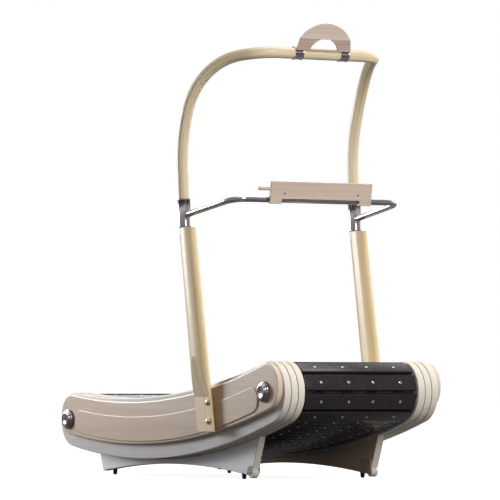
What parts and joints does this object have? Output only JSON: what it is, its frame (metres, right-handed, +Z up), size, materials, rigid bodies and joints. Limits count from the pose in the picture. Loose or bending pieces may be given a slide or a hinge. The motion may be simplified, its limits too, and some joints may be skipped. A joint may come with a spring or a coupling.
{
  "type": "curved manual treadmill",
  "caption": "Wooden curved manual treadmill: laminated side frames, slatted belt round two drums, oval posts, bent arch, chrome handlebar, console plate and device holder.",
  "frame": {"origin": "on the floor, under the middle of the machine's box", "axes": "+X along the machine towards the high front end, +Y to the runner's left, +Z up"},
  "size_m": [1.7338, 0.788, 1.6692],
  "materials": {
    "laminated_board": "satin lacquer over light ash boards",
    "cover_wood": "satin lacquered ash veneer",
    "bent_wood": "satin lacquered laminated ash",
    "plate_wood": "satin lacquered plywood",
    "chrome": "polished",
    "cap_bolt": "satin",
    "slat": "dark stained, with a fine grip pattern",
    "belt_rubber": "matt",
    "foot_rubber": "matt",
    "wheel_tread": "matt",
    "screw": "zinc plated",
    "roller": "turned",
    "drum": "turned",
    "steel": "zinc plated"
  },
  "bodies": {
    "frame": {"carrier_belts": "belt_rubber", "cover_panel_left": "cover_wood", "cover_panel_right": "cover_wood", "foot_dowels": "steel", "foot_panel_left": "laminated_board", "foot_panel_right": "laminated_board", "front_axle": "steel", "front_axle_cap_left": "chrome", "front_axle_cap_right": "chrome", "handlebar": "chrome", "inner_board_left": "laminated_board", "inner_board_right": "laminated_board", "middle_board_left": "laminated_board", "middle_board_right": "laminated_board", "outer_board_left": "laminated_board", "outer_board_right": "laminated_board", "post_bolts": "cap_bolt", "post_left": "bent_wood", "post_right": "bent_wood", "post_sleeve_left": "chrome", "post_sleeve_right": "chrome", "rear_axle": "steel", "rear_axle_cap_left": "chrome", "rear_axle_cap_right": "chrome", "rubber_feet": "foot_rubber", "side_cover_left": "cover_wood", "side_cover_right": "cover_wood", "slat_screws": "screw", "slats": "slat", "spreader_tubes": "steel", "tie_bolts": "steel", "top_arch": "bent_wood", "wheel_bracket_left": "steel", "wheel_bracket_right": "steel"},
    "front_drum": {"front_drum": "drum", "front_drum_bearings": "steel"},
    "rear_drum": {"rear_drum": "drum", "rear_drum_bearings": "steel"},
    "wheel_left": {"transport_wheel_left": "wheel_tread"},
    "wheel_right": {"transport_wheel_right": "wheel_tread"},
    "console": {"console_plate": "plate_wood", "console_clips": "steel", "console_screws": "screw", "console_peg": "plate_wood"},
    "holder": {"device_holder": "plate_wood", "holder_clamps": "chrome"},
    "return_roller_1": {"return_roller_1": "roller"},
    "return_roller_2": {"return_roller_2": "roller"},
    "return_roller_3": {"return_roller_3": "roller"},
    "top_roller_1": {"top_roller_1": "roller"},
    "top_roller_2": {"top_roller_2": "roller"},
    "top_roller_3": {"top_roller_3": "roller"},
    "top_roller_4": {"top_roller_4": "roller"},
    "top_roller_5": {"top_roller_5": "roller"},
    "top_roller_6": {"top_roller_6": "roller"},
    "top_roller_7": {"top_roller_7": "roller"},
    "top_roller_8": {"top_roller_8": "roller"},
    "top_roller_9": {"top_roller_9": "roller"}
  },
  "joints": [
    {"name": "front_drum_spin", "type": "hinge", "parent": "frame", "child": "front_drum", "pos_m": [0.755, 0, 0.318], "axis": [0, 1, 0], "continuous": true},
    {"name": "rear_drum_spin", "type": "hinge", "parent": "frame", "child": "rear_drum", "pos_m": [-0.763, 0, 0.212], "axis": [0, 1, 0], "continuous": true},
    {"name": "return_roller_1_spin", "type": "hinge", "parent": "frame", "child": "return_roller_1", "pos_m": [-0.48, 0, 0.11938], "axis": [0, 1, 0], "continuous": true},
    {"name": "return_roller_2_spin", "type": "hinge", "parent": "frame", "child": "return_roller_2", "pos_m": [0, 0, 0.12009], "axis": [0, 1, 0], "continuous": true},
    {"name": "return_roller_3_spin", "type": "hinge", "parent": "frame", "child": "return_roller_3", "pos_m": [0.48, 0, 0.1804], "axis": [0, 1, 0], "continuous": true},
    {"name": "top_roller_1_spin", "type": "hinge", "parent": "frame", "child": "top_roller_1", "pos_m": [-0.6, 0, 0.25996], "axis": [0, 1, 0], "continuous": true},
    {"name": "top_roller_2_spin", "type": "hinge", "parent": "frame", "child": "top_roller_2", "pos_m": [-0.45, 0, 0.25266], "axis": [0, 1, 0], "continuous": true},
    {"name": "top_roller_3_spin", "type": "hinge", "parent": "frame", "child": "top_roller_3", "pos_m": [-0.3, 0, 0.2507], "axis": [0, 1, 0], "continuous": true},
    {"name": "top_roller_4_spin", "type": "hinge", "parent": "frame", "child": "top_roller_4", "pos_m": [-0.15, 0, 0.25408], "axis": [0, 1, 0], "continuous": true},
    {"name": "top_roller_5_spin", "type": "hinge", "parent": "frame", "child": "top_roller_5", "pos_m": [0, 0, 0.26281], "axis": [0, 1, 0], "continuous": true},
    {"name": "top_roller_6_spin", "type": "hinge", "parent": "frame", "child": "top_roller_6", "pos_m": [0.15, 0, 0.27693], "axis": [0, 1, 0], "continuous": true},
    {"name": "top_roller_7_spin", "type": "hinge", "parent": "frame", "child": "top_roller_7", "pos_m": [0.3, 0, 0.29648], "axis": [0, 1, 0], "continuous": true},
    {"name": "top_roller_8_spin", "type": "hinge", "parent": "frame", "child": "top_roller_8", "pos_m": [0.45, 0, 0.32155], "axis": [0, 1, 0], "continuous": true},
    {"name": "top_roller_9_spin", "type": "hinge", "parent": "frame", "child": "top_roller_9", "pos_m": [0.6, 0, 0.35224], "axis": [0, 1, 0], "continuous": true},
    {"name": "wheel_left_spin", "type": "hinge", "parent": "frame", "child": "wheel_left", "pos_m": [0.522, 0.2545, 0.025], "axis": [0, 1, 0], "continuous": true},
    {"name": "wheel_right_spin", "type": "hinge", "parent": "frame", "child": "wheel_right", "pos_m": [0.522, -0.2545, 0.025], "axis": [0, 1, 0], "continuous": true},
    {"name": "console_tilt", "type": "hinge", "parent": "frame", "child": "console", "pos_m": [0.553, 0, 1.021], "axis": [0, 1, 0], "range_deg": [-35, 35]},
    {"name": "holder_tilt", "type": "hinge", "parent": "frame", "child": "holder", "pos_m": [0.568, 0, 1.56], "axis": [0, 1, 0], "range_deg": [-30, 30]}
  ],
  "couplings": [
    {"joint": "rear_drum_spin", "follows": "front_drum_spin", "ratio": 1.1004},
    {"joint": "return_roller_1_spin", "follows": "front_drum_spin", "ratio": 5.8433},
    {"joint": "return_roller_2_spin", "follows": "front_drum_spin", "ratio": 5.8433},
    {"joint": "return_roller_3_spin", "follows": "front_drum_spin", "ratio": 5.8433},
    {"joint": "top_roller_1_spin", "follows": "front_drum_spin", "ratio": 4.8694},
    {"joint": "top_roller_2_spin", "follows": "front_drum_spin", "ratio": 4.8694},
    {"joint": "top_roller_3_spin", "follows": "front_drum_spin", "ratio": 4.8694},
    {"joint": "top_roller_4_spin", "follows": "front_drum_spin", "ratio": 4.8694},
    {"joint": "top_roller_5_spin", "follows": "front_drum_spin", "ratio": 4.8694},
    {"joint": "top_roller_6_spin", "follows": "front_drum_spin", "ratio": 4.8694},
    {"joint": "top_roller_7_spin", "follows": "front_drum_spin", "ratio": 4.8694},
    {"joint": "top_roller_8_spin", "follows": "front_drum_spin", "ratio": 4.8694},
    {"joint": "top_roller_9_spin", "follows": "front_drum_spin", "ratio": 4.8694}
  ]
}
